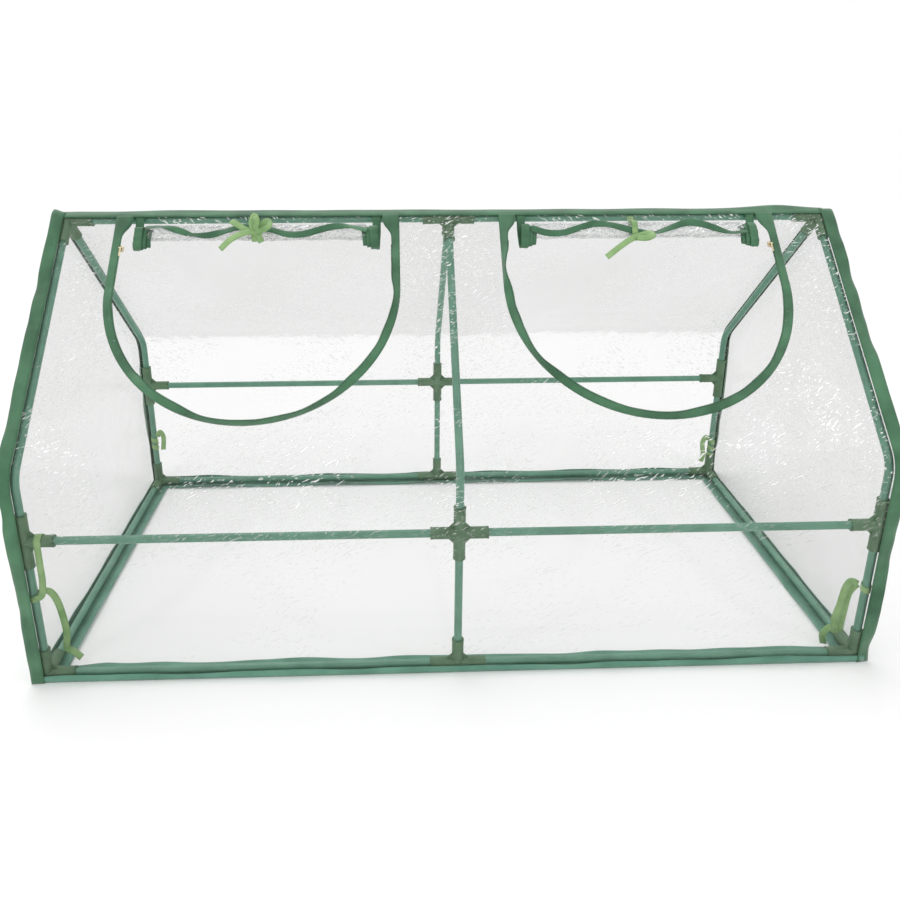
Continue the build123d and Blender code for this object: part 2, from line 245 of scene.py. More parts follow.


# ---------------------------------------------------------------- clear film
# Thin soft clear film, creased all over from being folded up. Where its creases catch the light,
# short white streaks are painted into its colour and opacity as painted glints, over a faint grey
# haze that deepens where it is seen edge-on; the haze is the film's own dimming, set dark enough
# to be painted shade for the inside of the cover as well.
clear, tree, shader, at = new_finish("clear_film")
wander = add_node(tree, "TexNoise", [("Scale", 9.0), ("Detail", 3.0)], [("Vector", at.outputs["Object"])])
bent = add_node(tree, "VectorMath", [("operation", "SCALE"), ("Scale", 0.09)], [(0, wander.outputs["Color"])])
creased = add_node(tree, "VectorMath", [("operation", "ADD")],
                   [(0, at.outputs["Object"]), (1, bent.outputs["Vector"])])

# The painted glints gather in some regions, and there are fewer of them low on the walls.
regions = add_node(tree, "TexNoise", [("Scale", 4.2), ("Detail", 2.0)], [("Vector", at.outputs["Object"])])
height_up = add_node(tree, "SeparateXYZ", links=[("Vector", at.outputs["Object"])])
higher = add_node(tree, "MapRange", [("From Min", 0.28), ("From Max", 0.42), ("To Min", 0.24)],
                  [("Value", height_up.outputs["Z"])])
strayed = add_node(tree, "TexNoise", [("Scale", 16.0), ("Detail", 2.0)], [("Vector", at.outputs["UV"])])
swayed = add_node(tree, "VectorMath", [("operation", "SCALE"), ("Scale", 0.035)],
                  [(0, strayed.outputs["Color"])])
laid = add_node(tree, "VectorMath", [("operation", "ADD")],
                [(0, at.outputs["UV"]), (1, swayed.outputs["Vector"])])
turned = add_node(tree, "Mapping", links=[("Vector", laid.outputs["Vector"])])
painted_glint_turn = radians(-28)
turned.inputs["Rotation"].default_value = (0, 0, painted_glint_turn)


def painted_crease_glints(along, across, low, high, spread):
    """Painted glints: short white streaks, all lying much the same way, where creases catch the light."""
    stretched = add_node(tree, "VectorMath", [("operation", "MULTIPLY")], [(0, turned.outputs["Vector"])])
    stretched.inputs[1].default_value = (along, across, 1.0)
    field = add_node(tree, "TexNoise", [("Scale", 1.0), ("Detail", 1.5)],
                     [("Vector", stretched.outputs["Vector"])])
    painted_glint = add_node(tree, "MapRange", [("From Min", low), ("From Max", high)],
                      [("Value", field.outputs["Fac"])])
    region = add_node(tree, "MapRange", [("From Min", spread), ("From Max", spread + 0.12), ("To Min", 0.12)],
                      [("Value", regions.outputs["Fac"])])
    fewer = add_node(tree, "Math", [("operation", "MULTIPLY")],
                     [(0, region.outputs["Result"]), (1, higher.outputs["Result"])])
    shown = add_node(tree, "Math", [("operation", "MULTIPLY")],
                     [(0, painted_glint.outputs["Result"]), (1, fewer.outputs[0])])
    return shown.outputs[0]


long_painted_glints = painted_crease_glints(26.0, 190.0, 0.62, 0.70, 0.44)
short_painted_glints = painted_crease_glints(75.0, 330.0, 0.61, 0.67, 0.40)
# Painted glints: where they lie, the film turns white and nearly opaque, standing in for the light its
# creases catch.
painted_glints = add_node(tree, "Math", [("operation", "MAXIMUM")], [(0, long_painted_glints), (1, short_painted_glints)])
# The haze's grey tone: part the film's own tint, part painted shade for the inside of the cover.
film_haze_and_shade_noise = add_node(tree, "TexNoise", [("Scale", 3.0), ("Detail", 3.0)], [("Vector", at.outputs["Object"])])
film_haze_and_shade_tone = two_tone(tree, film_haze_and_shade_noise.outputs["Fac"], (0.20, 0.205, 0.175), (0.36, 0.365, 0.355))
film_haze_and_shade_tone.node.name = "haze_and_painted_shade_tones"
# The film's colour: the grey haze, turned white by the painted glints.
haze_shade_and_glint_tone = add_node(tree, "Mix", [("data_type", "RGBA"), (7, (1.0, 1.0, 1.0, 1.0))],
                     [("Factor", painted_glints.outputs[0]), (6, film_haze_and_shade_tone)])
tree.links.new(haze_shade_and_glint_tone.outputs[2], shader.inputs["Base Color"])
# The haze's strength: the film's own dimming, which rises edge-on, set high enough to be painted shade
# darkening the inside seen through it.
edge_on = add_node(tree, "Fresnel", [("IOR", 1.45)])
face_on_haze_and_shade, edge_on_haze_and_shade = 0.052, 0.30
thin = add_node(tree, "MapRange",
                [("From Min", 0.02), ("From Max", 0.8), ("To Min", face_on_haze_and_shade), ("To Max", edge_on_haze_and_shade)],
                [("Value", edge_on.outputs["Fac"])])
thin.name = "haze_and_painted_shade"
painted_glint_cover = add_node(tree, "Math", [("operation", "MULTIPLY"), (1, 0.85)], [(0, painted_glints.outputs[0])])
cover_share = add_node(tree, "Math", [("operation", "MAXIMUM")],
                       [(0, thin.outputs["Result"]), (1, painted_glint_cover.outputs[0])])
tree.links.new(cover_share.outputs[0], shader.inputs["Alpha"])
ripple = add_node(tree, "TexNoise", [("Scale", 42.0), ("Detail", 5.0)],
                  [("Vector", creased.outputs["Vector"])])
relief = bump(tree, ripple.outputs["Fac"], 0.55, 0.004)
tree.links.new(relief, shader.inputs["Normal"])
tree.links.new(relief, edge_on.inputs["Normal"])
shader.inputs["Roughness"].default_value = 0.12
shader.inputs["Specular IOR Level"].default_value = 0.8

# ---------------------------------------------------------------- long panels
# Front and rear are each one sheet from the hem to the ridge. The front has a round-bottomed hole
# for each door, whose raw edge lies under the zip tape.
film_step = 0.009
door_offset = (track_low.x + track_high.x) / 2
tape_width = 0.0190
zip_to_edge = 0.021
zip_radius = (track_high.x - track_low.x) / 2 - zip_to_edge
door_leg = (ridge_z - track_low.z) * sqrt(2) + film_out - zip_radius - zip_to_edge
hole_radius = zip_radius + 0.009
hem_and_ridge_fade, door_fade = 0.03, 0.05


def sag(x, down):
    """How far the roof's film hangs in between the arches."""
    return 0.006 * sin(pi * min(abs(x) / half_length, 1)) * sin(pi * min(max(down / 0.58, 0), 1))


def front_film(across, along):
    x = half_length * (2 * across - 1)
    up = cover_run * along
    past_door = sqrt((abs(x) - door_offset) ** 2 + max(roof_end - up - door_leg, 0) ** 2) - hole_radius
    out = crumple(x, up, 3.1) * min(max((past_door - 0.012) / door_fade, 0.3), 1)
    if up > wall_run + bend_run:
        out -= sag(x, roof_end - up)
    edge = min(min(half_length - abs(x), (cover_run - up) / 2, up) / hem_and_ridge_fade, 1)
    return skin(FRONT, x, up, out * max(edge, 0.1))


def rear_film(across, along):
    x = half_length * (1 - 2 * across)
    up = cover_run * along
    out = crumple(x, up, 17.7)
    if up > wall_run + bend_run:
        out -= sag(x, roof_end - up)
    edge = min(min(half_length - abs(x), cover_run - up, up) / hem_and_ridge_fade, 1)
    return skin(REAR, x, up, out * max(edge, 0.1))


film_columns = round(2 * half_length / film_step)
film_rows = round(cover_run / film_step)
front_sheet = grid_piece("front_panel_film", film_columns, film_rows, front_film, 2 * half_length, cover_run)
cut = []
for face in front_sheet.data.polygons:
    centre = sum((front_sheet.data.vertices[v].co for v in face.vertices), Vector()) / len(face.vertices)
    down = (ridge_z - centre.z - centre.y) / sqrt(2)
    beside = abs(abs(centre.x) - door_offset)
    past = sqrt(beside ** 2 + max(down - door_leg, 0) ** 2)
    if centre.z > bend_z and past < hole_radius:
        cut.append(face.index)
bpy.ops.object.mode_set(mode="EDIT")
bpy.ops.mesh.select_mode(type="FACE")
bpy.ops.mesh.select_all(action="DESELECT")
bpy.ops.object.mode_set(mode="OBJECT")
for index in cut:
    front_sheet.data.polygons[index].select = True
bpy.ops.object.mode_set(mode="EDIT")
bpy.ops.mesh.delete(type="FACE")
bpy.ops.object.mode_set(mode="OBJECT")
rear_sheet = grid_piece("rear_panel_film", film_columns, film_rows, rear_film, 2 * half_length, cover_run)
hole_area = 2 * hole_radius * door_leg + pi * hole_radius ** 2 / 2
# The rear sheet's copy of the film is hazier than the rest: painted shade that darkens the back wall seen
# through it.
rear_film_painted_shade = clear.copy()
rear_film_painted_shade.name = "clear_film_rear_painted_shade"
rear_film_painted_shade.node_tree.nodes["haze_and_painted_shade"].inputs["To Min"].default_value = 0.105
for piece, node, area, finish in (
    (front_sheet, "front_panel", 2 * half_length * cover_run - 2 * hole_area, clear),
    (rear_sheet, "rear_panel", 2 * half_length * cover_run, rear_film_painted_shade),
):
    piece.data.materials.append(finish)
    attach(piece, "greenhouse")
    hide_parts(node)

# ---------------------------------------------------------------- gable panels
# Each end is one five-sided sheet of the same film, sewn to the front and rear panels along its
# edges and pulled in a little between its tubes.


def half_width(z):
    """How far the cover reaches from the middle at this height."""
    around = bend_radius + film_out
    if z < bend_z:
        return half_depth + film_out
    if z < bend_z + around * sin(pi / 4):
        return half_depth - bend_radius + sqrt(around ** 2 - (z - bend_z) ** 2)
    if z < ridge_z + film_out * sin(pi / 4):
        return ridge_z + film_out * sqrt(2) - z
    return sqrt(max(film_out ** 2 - (z - ridge_z) ** 2, 0.0))


top_z = ridge_z + film_out
for side_name, side in (("left", -1), ("right", 1)):
    def gable_film(across, along):
        z = ground + (top_z - ground) * along
        reach = half_width(z)
        y = side * reach * (2 * across - 1)
        out = crumple(y, z, 31.0 + 5 * side)
        out -= 0.007 * sin(pi * along) * (1 - (2 * across - 1) ** 2)
        edge = min(min(reach - abs(y), z - ground) / hem_and_ridge_fade, 1)
        return Vector((side * (half_length + max(out, 0.0005) * max(edge, 0.1)), y, z))

    gable_columns = round(2 * half_depth / film_step)
    gable_rows = round((top_z - ground) / film_step)
    gable = grid_piece(f"{side_name}_gable_film", gable_columns, gable_rows, gable_film,
                       2 * half_depth, top_z - ground)
    gable.data.materials.append(clear)
    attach(gable, "greenhouse")
    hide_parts(f"{side_name}_gable_panel")

# ---------------------------------------------------------------- edge bindings
# The panels meet in seams closed by folded green woven tape, whose free edge stands out from the
# corner and waves.
woven, tree, shader, at = new_finish("green_tape")
warp = add_node(tree, "TexWave", [("bands_direction", "X"), ("Scale", 260.0), ("Distortion", 0.6)],
                [("Vector", at.outputs["UV"])])
weft = add_node(tree, "TexWave", [("bands_direction", "Y"), ("Scale", 180.0), ("Distortion", 0.6)],
                [("Vector", at.outputs["UV"])])
weave = add_node(tree, "Math", [("operation", "MULTIPLY")],
                 [(0, warp.outputs["Fac"]), (1, weft.outputs["Fac"])])
faded = add_node(tree, "TexNoise", [("Scale", 14.0), ("Detail", 4.0)], [("Vector", at.outputs["Object"])])
tape_tone = two_tone(tree, faded.outputs["Fac"], (0.022, 0.100, 0.042), (0.068, 0.210, 0.100))
tape_tone.node.name = "tape_tones"
thread_tone = two_tone(tree, weave.outputs[0], (0.7, 0.7, 0.7), (1.15, 1.15, 1.15), 0.1, 0.6)
tape_colour = add_node(tree, "Mix", [("data_type", "RGBA"), ("blend_type", "MULTIPLY"), ("Factor", 0.15)],
                       [(6, tape_tone), (7, thread_tone)])
tree.links.new(tape_colour.outputs[2], shader.inputs["Base Color"])
shader.inputs["Roughness"].default_value = 0.62
shader.inputs["Sheen Weight"].default_value = 0.25
shader.inputs["Sheen Roughness"].default_value = 0.5
relief = bump(tree, weave.outputs[0], 0.25, 0.0003)
puckers = add_node(tree, "TexNoise", [("Scale", 90.0), ("Detail", 2.0)], [("Vector", at.outputs["Object"])])
tree.links.new(bump(tree, puckers.outputs["Fac"], 0.25, 0.0015, relief), shader.inputs["Normal"])


def thicken(piece, thickness):
    """Gives a laid sheet its thickness, evenly on both faces."""
    bpy.ops.object.select_all(action="DESELECT")
    piece.select_set(True)
    bpy.context.view_layer.objects.active = piece
    solidify = piece.modifiers.new("thickness", "SOLIDIFY")
    solidify.thickness = thickness
    solidify.offset = 0.0
    bpy.ops.object.modifier_apply(modifier=solidify.name)


def ribbon(name, near, far, thickness, rows=3):
    """Tape laid between two edges, each a list of points."""
    count = len(near) - 1
    length = sum((near[i + 1] - near[i]).length for i in range(count))

    def place(along, across):
        index = min(round(along * count), count)
        return near[index].lerp(far[index], across)

    piece = grid_piece(name, count, rows, place, length, (far[0] - near[0]).length)
    thicken(piece, thickness)
    return piece


def dress(piece, material, body, slot_name, *replaced):
    """Finish, body and the carried-over nodes that a new piece stands for."""
    piece.data.materials.clear()
    piece.data.materials.append(material)
    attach(piece, body)
    if replaced:
        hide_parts(*replaced)


binding_step = 0.006
sewn_in, stands_out, tape_thickness = 0.0125, 0.0150, 0.0013
for side_name, side in (("left", -1), ("right", 1)):
    sewn, free, lapped = [], [], []
    total = 2 * cover_run
    count = round(total / binding_step)
    for i in range(count + 1):
        up = total * i / count
        end = FRONT if up <= cover_run else REAR
        climb = min(up if end == FRONT else total - up, cover_run - 1e-5)
        wave = noise.noise(Vector((up * 5.5, side * 4.0, 0.3)))
        wave += 0.5 * noise.noise(Vector((up * 16, side, 7.7)))
        shoulder = exp(-((climb - wall_run - bend_run / 2) / 0.10) ** 2)
        swing = radians(15 + 60 * wave + 25 * shoulder)
        sewn.append(skin(end, side * (half_length - sewn_in), climb, 0.0040))
        free.append(skin(end, side * (half_length + stands_out * cos(swing)), climb,
                         0.003 + stands_out * sin(swing)))
        lapped.append(skin(end, side * (half_length + 0.0042), climb, -sewn_in))
    edge = ribbon(f"{side_name}_gable_binding_tape", sewn, free, tape_thickness, rows=4)
    dress(edge, woven, "greenhouse", "green_tape", f"{side_name}_gable_binding")
    lap = ribbon(f"{side_name}_gable_binding_lap", free, lapped, tape_thickness, rows=3)
    dress(lap, woven, "greenhouse", "green_tape")

# ---------------------------------------------------------------- ridge binding
# The same tape folded over the seam along the ridge. It lies back over the tube, rises in a low
# wave and lifts clear of it near the right end.
near, far = [], []
count = round(2 * half_length / 0.008)
for i in range(count + 1):
    x = half_length * (2 * i / count - 1)
    wave = 0.0020 * noise.noise(Vector((x * 7, 0, 2.2)))
    lift = 0.006 * exp(-((x - 0.78) / 0.07) ** 2) + 0.002 * exp(-((x + 0.55) / 0.16) ** 2)
    near.append(skin(FRONT, x, roof_end - 0.003, 0.0026 + wave))
    far.append(Vector((x, 0.012 + wave, ridge_z + film_out + 0.0045 + wave + lift)))
ridge_tape = ribbon("ridge_binding_tape", near, far, 0.0012, rows=5)
for vertex in ridge_tape.data.vertices:
    off = Vector((vertex.co.y, vertex.co.z - ridge_z))
    if off.length < film_out + 0.0028:
        off = off.normalized() * (film_out + 0.0028)
        vertex.co.y = off.x
        vertex.co.z = ridge_z + off.y
dress(ridge_tape, woven, "greenhouse", "green_tape", "ridge_binding")

# ---------------------------------------------------------------- door zip tracks
# Each doorway is edged with the fixed half of a coil zip: woven tape sewn to the film along its
# outer edge, and teeth along its free inner edge, which twists up and down as it goes round.


def round_door(along, inward, out, centre, lift=0.0):
    """A point on the roof beside a doorway: along its U from the left top, and inward from the sewn edge."""
    bottom_run = pi * zip_radius
    radius = zip_radius + tape_width - inward
    if along < door_leg:
        x, down = -radius, along
    elif along < door_leg + bottom_run:
        angle = (along - door_leg) / zip_radius
        x, down = -radius * cos(angle), door_leg + radius * sin(angle)
    else:
        x, down = radius, 2 * door_leg + bottom_run - along
    x += centre
    return skin(FRONT, x, roof_end - down, out + lift - sag(x, down) + 0.0045)


def twist_at(along, total, seed, from_slider):
    """How the tape turns on its sewn edge: flat where it reaches the ridge and where the slider runs."""
    settle = min(min(along, total - along) / 0.12, 1) ** 2 * min(max((from_slider - 0.19) / 0.05, 0), 1)
    turn = 95 * noise.noise(Vector((along * 4.6, seed, 0))) + 45 * noise.noise(Vector((along * 13, seed, 5)))
    return radians(min(max(20 + turn, -20), 88)) * settle


track_run = 2 * door_leg + pi * zip_radius
for side_name, side in (("left", -1), ("right", 1)):
    centre = side * door_offset
    seed = 2.4 + 3 * side
    outer, inner = [], []
    count = round(track_run / 0.005)
    for i in range(count + 1):
        along = track_run * i / count
        turn = twist_at(along, track_run, seed, along if side < 0 else track_run - along)
        outer.append(round_door(along, 0.0, 0.0, centre))
        tab = 0.020 * exp(-(min(along, track_run - along) / 0.042) ** 4)
        inner.append(round_door(along, tape_width * cos(turn) + tab, tape_width * sin(turn), centre))
    track_tape = ribbon(f"{side_name}_zip_track_tape", outer, inner, 0.0010, rows=4)
    dress(track_tape, woven, "greenhouse", "green_tape", f"{side_name}_door_zip_track")

    # The coil of nylon wire stitched along the free edge, from below the tab at one end to the other.
    teeth = [i for i in range(count + 1) if 0.075 < track_run * i / count < track_run - 0.075]
    wire = bpy.data.curves.new(f"{side_name}_zip_coil", "CURVE")
    wire.dimensions = "3D"
    wire.bevel_depth = 0.0004
    wire.bevel_resolution = 0
    spline = wire.splines.new("POLY")
    turns_per_step, steps_per_turn = 3, 7
    points = []
    for a, b in zip(teeth, teeth[1:]):
        for j in range(turns_per_step * steps_per_turn):
            share = j / (turns_per_step * steps_per_turn)
            angle = 2 * pi * j / steps_per_turn
            middle = inner[a].lerp(inner[b], share)
            inwards = (inner[a] - outer[a]).normalized()
            over = inwards.cross((inner[b] - inner[a]).normalized())
            points.append(middle + inwards * 0.0012 * cos(angle) + over * 0.0013 * sin(angle))
    spline.points.add(len(points) - 1)
    for place, point in zip(spline.points, points):
        place.co = (*point, 1)
    coil = bpy.data.objects.new(f"{side_name}_zip_coil", wire)
    bpy.context.collection.objects.link(coil)
    bpy.ops.object.select_all(action="DESELECT")
    coil.select_set(True)
    bpy.context.view_layer.objects.active = coil
    bpy.ops.object.convert(target="MESH")
    coil = bpy.context.object
    dress(coil, woven, "greenhouse", "green_tape")

# ---------------------------------------------------------------- hem binding
# The panels' lower edge is bound with the same tape, which turns under the base tubes and lies on
# the ground inside them. Its upper edge hugs the tubes and lifts a little near the corners.
hem_section = ((0.0026, 0.0175), (0.0034, 0.0100), (0.0024, 0.0020), (-0.0010, 0.0007), (-0.0130, 0.0007),
               (-0.0240, 0.0008), (-0.0350, 0.0016), (-0.0450, 0.0030))
cover_half_depth = half_depth + film_out
hem_sides = ((-half_length, -cover_half_depth), (half_length, -cover_half_depth),
             (half_length, cover_half_depth), (-half_length, cover_half_depth))


def hem_tape(across, along):
    side = min(int(across * 4 + 1e-6), 3)
    begin, finish = Vector(hem_sides[side]), Vector(hem_sides[(side + 1) % 4])
    at_side = across * 4 - side
    around = begin.lerp(finish, at_side)
    row = min(int(along * (len(hem_section) - 1) + 1e-6), len(hem_section) - 1)
    out, z = hem_section[row]
    ripple = noise.noise(Vector((around.x * 9, around.y * 9, 1.5)))
    fade = min(min(at_side, 1 - at_side) / 0.05, 1)
    if row < 2:
        z += (0.0045 * ripple + 0.004 * exp(-((around.x - 0.70) / 0.06) ** 2)) * (2 - row) / 2
        out += 0.0016 * abs(ripple) * (2 - row)
    elif row > 5:
        z += (0.004 + 0.006 * ripple) * max(row - 5, 0) / 2 * fade
    grown = Vector((around.x * (half_length + out) / half_length,
                    around.y * (cover_half_depth + out) / cover_half_depth))
    return Vector((grown.x, grown.y, max(z, 0.0006)))


hem_run = 4 * (half_length + cover_half_depth)
hem_width = sum((Vector(hem_section[i + 1]) - Vector(hem_section[i])).length for i in range(7))
hem = grid_piece("hem_binding_tape", 640, 7, hem_tape, hem_run, hem_width)
thicken(hem, 0.0010)
# The hem's copy of the tape is lighter and bluer; the extra lightness is painted light that offsets the shade
# it lies in under the base tubes.
hem_tape_painted_light = woven.copy()
hem_tape_painted_light.name = "green_tape_hem_painted_light"
hem_painted_light_tones = hem_tape_painted_light.node_tree.nodes["tape_tones"].color_ramp.elements
hem_painted_light_tones[0].color = (0.078, 0.240, 0.160, 1)
hem_painted_light_tones[1].color = (0.140, 0.345, 0.248, 1)
dress(hem, hem_tape_painted_light, "greenhouse", "green_tape", "hem_binding")

# ---------------------------------------------------------------- rolled doors
# Each door is a sheet of the same film with the moving half of the zip on its edge. It is rolled up
# from the bottom into a loose flat bundle that hangs from the ridge seam inside its doorway. At
# each end the zip tape is wound into a coil, and between them it wanders through the bundle.
seam = Vector((0, -(film_out + 0.0017) / sqrt(2), ridge_z + (film_out + 0.0017) / sqrt(2)))
hang = Vector((0, -sin(radians(30)), -cos(radians(30))))
facing = Vector((0, -cos(radians(30)), sin(radians(30))))


def roll_point(x, away, out):
    """A point this far along the roll's hang from the seam, and this far out from its flat side."""
    return seam + Vector((x, 0, 0)) + hang * away + facing * out


def wound(turn, radius, half):
    """A place on a flattened coil: along its hang and out, from its middle."""
    run = (turn % 1) * (4 * half + 2 * pi * radius)
    if run < 2 * half:
        return run - half, -radius
    run -= 2 * half
    if run < pi * radius:
        return half + radius * sin(run / radius), -radius * cos(run / radius)
    run -= pi * radius
    if run < 2 * half:
        return half - run, radius
    run -= 2 * half
    return -half - radius * sin(run / radius), radius * cos(run / radius)


def coil_up(name, low, high, web, middle, half, radii, turns, columns, per_turn, shift=0.0, loose=0.0):
    """A sheet that comes down from the seam and winds itself into a flattened coil."""
    web_rows = max(round(web / 0.006), 1)
    rows = web_rows + round(turns * per_turn)

    def place(across, along):
        x = low + (high - low) * across
        row = round(along * rows)
        if row <= web_rows:
            away = middle - half - web * (1 - row / web_rows)
            return roll_point(x, away, 0.0012 * loose * noise.noise(Vector((x * 30, away * 40, 0))))
        turn = (row - web_rows) / per_turn
        share = turn / turns
        radius = radii[0] + (radii[1] - radii[0]) * share
        away, out = wound(turn, radius, half)
        folded = noise.noise(Vector((x * 24, 2.5 * cos(2 * pi * turn), 2.5 * sin(2 * pi * turn))))
        sharp = abs(noise.noise(Vector((x * 60, 4 * cos(2 * pi * turn), 4 * sin(2 * pi * turn)))))
        swell = 1 + loose * (0.16 * folded - 0.14 * sharp)
        return roll_point(x + shift * share, middle + away * swell, radii[0] + out * swell)

    length = web + sum(4 * half + 2 * pi * (radii[0] + (radii[1] - radii[0]) * (i + 0.5) / turns)
                       for i in range(int(turns)))
    piece = grid_piece(name, columns, rows, place, high - low, length)
    return piece, length


def smooth_run(keys, step=0.004):
    """Points and facings along a smooth path through keys, each a place and the way the ribbon faces."""
    points, facings = [], []
    for i in range(len(keys) - 1):
        a, b, c, d = (keys[max(i - 1, 0)], keys[i], keys[i + 1], keys[min(i + 2, len(keys) - 1)])
        pieces = max(round((c[0] - b[0]).length / step), 2)
        for j in range(pieces + (i == len(keys) - 2)):
            t = j / pieces
            straight = 2 * b[0] + (c[0] - a[0]) * t
            bowed = (2 * a[0] - 5 * b[0] + 4 * c[0] - d[0]) * t * t
            points.append(0.5 * (straight + bowed + (3 * b[0] - a[0] - 3 * c[0] + d[0]) * t ** 3))
            facings.append(b[1].lerp(c[1], t).normalized())
    return points, facings


def loose_ribbon(name, keys, width, thickness, held, body, material, slot_name, *replaced):
    """A free ribbon through keys."""
    points, facings = smooth_run(keys)
    near, far = [], []
    for i in range(len(points)):
        ahead = points[min(i + 1, len(points) - 1)] - points[max(i - 1, 0)]
        across = ahead.cross(facings[i]).normalized() * width / 2
        near.append(points[i] - across)
        far.append(points[i] + across)
    piece = ribbon(name, near, far, thickness, rows=3)
    dress(piece, material, body, slot_name, *replaced)
    return piece


pale, tree, shader, at = new_finish("light_ribbon")
warp = add_node(tree, "TexWave", [("bands_direction", "X"), ("Scale", 330.0), ("Distortion", 0.8)],
                [("Vector", at.outputs["UV"])])
weft = add_node(tree, "TexWave", [("bands_direction", "Y"), ("Scale", 260.0), ("Distortion", 0.8)],
                [("Vector", at.outputs["UV"])])
weave = add_node(tree, "Math", [("operation", "MULTIPLY")],
                 [(0, warp.outputs["Fac"]), (1, weft.outputs["Fac"])])
faded = add_node(tree, "TexNoise", [("Scale", 25.0), ("Detail", 3.0)], [("Vector", at.outputs["Object"])])
tone = two_tone(tree, faded.outputs["Fac"], (0.17, 0.33, 0.11), (0.32, 0.50, 0.21))
tree.links.new(tone, shader.inputs["Base Color"])
shader.inputs["Roughness"].default_value = 0.55
shader.inputs["Sheen Weight"].default_value = 0.2
tree.links.new(bump(tree, weave.outputs[0], 0.4, 0.0003), shader.inputs["Normal"])

# The rolled doors' film is the same, but so many layers of it would look smoky.
clear_rolled = clear.copy()
clear_rolled.name = "clear_film_rolled"
clear_rolled.node_tree.nodes["haze_and_painted_shade"].inputs["To Min"].default_value = 0.022
rolled_tones = clear_rolled.node_tree.nodes["haze_and_painted_shade_tones"].color_ramp.elements
rolled_tones[0].color = (0.62, 0.64, 0.62, 1)
rolled_tones[1].color = (0.86, 0.88, 0.87, 1)

